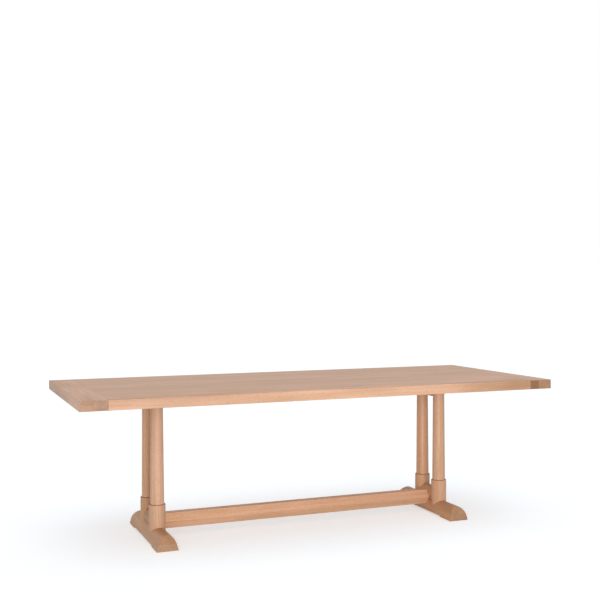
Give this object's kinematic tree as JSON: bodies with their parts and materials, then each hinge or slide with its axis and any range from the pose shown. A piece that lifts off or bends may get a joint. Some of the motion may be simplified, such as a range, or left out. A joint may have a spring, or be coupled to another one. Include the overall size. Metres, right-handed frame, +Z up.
{
  "type": "trestle dining table",
  "caption": "Long wooden dining table: staved top with breadboard ends on twin-column trestles, joined by a low hexagonal stretcher.",
  "frame": {"origin": "on the floor under the middle of the table", "axes": "+X along the table's length, +Y across it away from the near long side, +Z up"},
  "size_m": [2.5, 1.03, 0.765],
  "materials": {
    "board_wood": "matt oiled light hardwood, grain along the table",
    "cleat_wood": "matt oiled light hardwood, grain across the table",
    "trestle_wood": "matt oiled turned and planed hardwood",
    "foot_wood": "matt oiled hardwood, a little darker",
    "hidden_wood": "planed hardwood, thinly oiled",
    "peg_wood": "turned hardwood pegs and plugs",
    "zinc_steel": "zinc plated steel"
  },
  "bodies": {
    "root": {"cleat_left_inner": "cleat_wood", "cleat_left_outer": "cleat_wood", "cleat_left_pegs": "peg_wood", "cleat_right_inner": "cleat_wood", "cleat_right_outer": "cleat_wood", "cleat_right_pegs": "peg_wood", "left_bearer": "hidden_wood", "left_collar_front": "trestle_wood", "left_collar_rear": "trestle_wood", "left_column_front": "trestle_wood", "left_column_rear": "trestle_wood", "left_foot": "foot_wood", "left_head_rail": "hidden_wood", "left_spreader": "trestle_wood", "left_threaded_inserts": "zinc_steel", "left_top_bolts": "zinc_steel", "left_top_washers": "zinc_steel", "right_bearer": "hidden_wood", "right_collar_front": "trestle_wood", "right_collar_rear": "trestle_wood", "right_column_front": "trestle_wood", "right_column_rear": "trestle_wood", "right_foot": "foot_wood", "right_head_rail": "hidden_wood", "right_spreader": "trestle_wood", "right_threaded_inserts": "zinc_steel", "right_top_bolts": "zinc_steel", "right_top_washers": "zinc_steel", "stretcher": "trestle_wood", "stretcher_barrel_nuts": "zinc_steel", "stretcher_bolts": "zinc_steel", "stretcher_plugs": "peg_wood", "stretcher_washers": "zinc_steel", "top_board_1": "board_wood", "top_board_2": "board_wood", "top_board_3": "board_wood", "top_board_4": "board_wood", "top_board_5": "board_wood", "top_board_6": "board_wood", "top_board_7": "board_wood"}
  },
  "joints": []
}
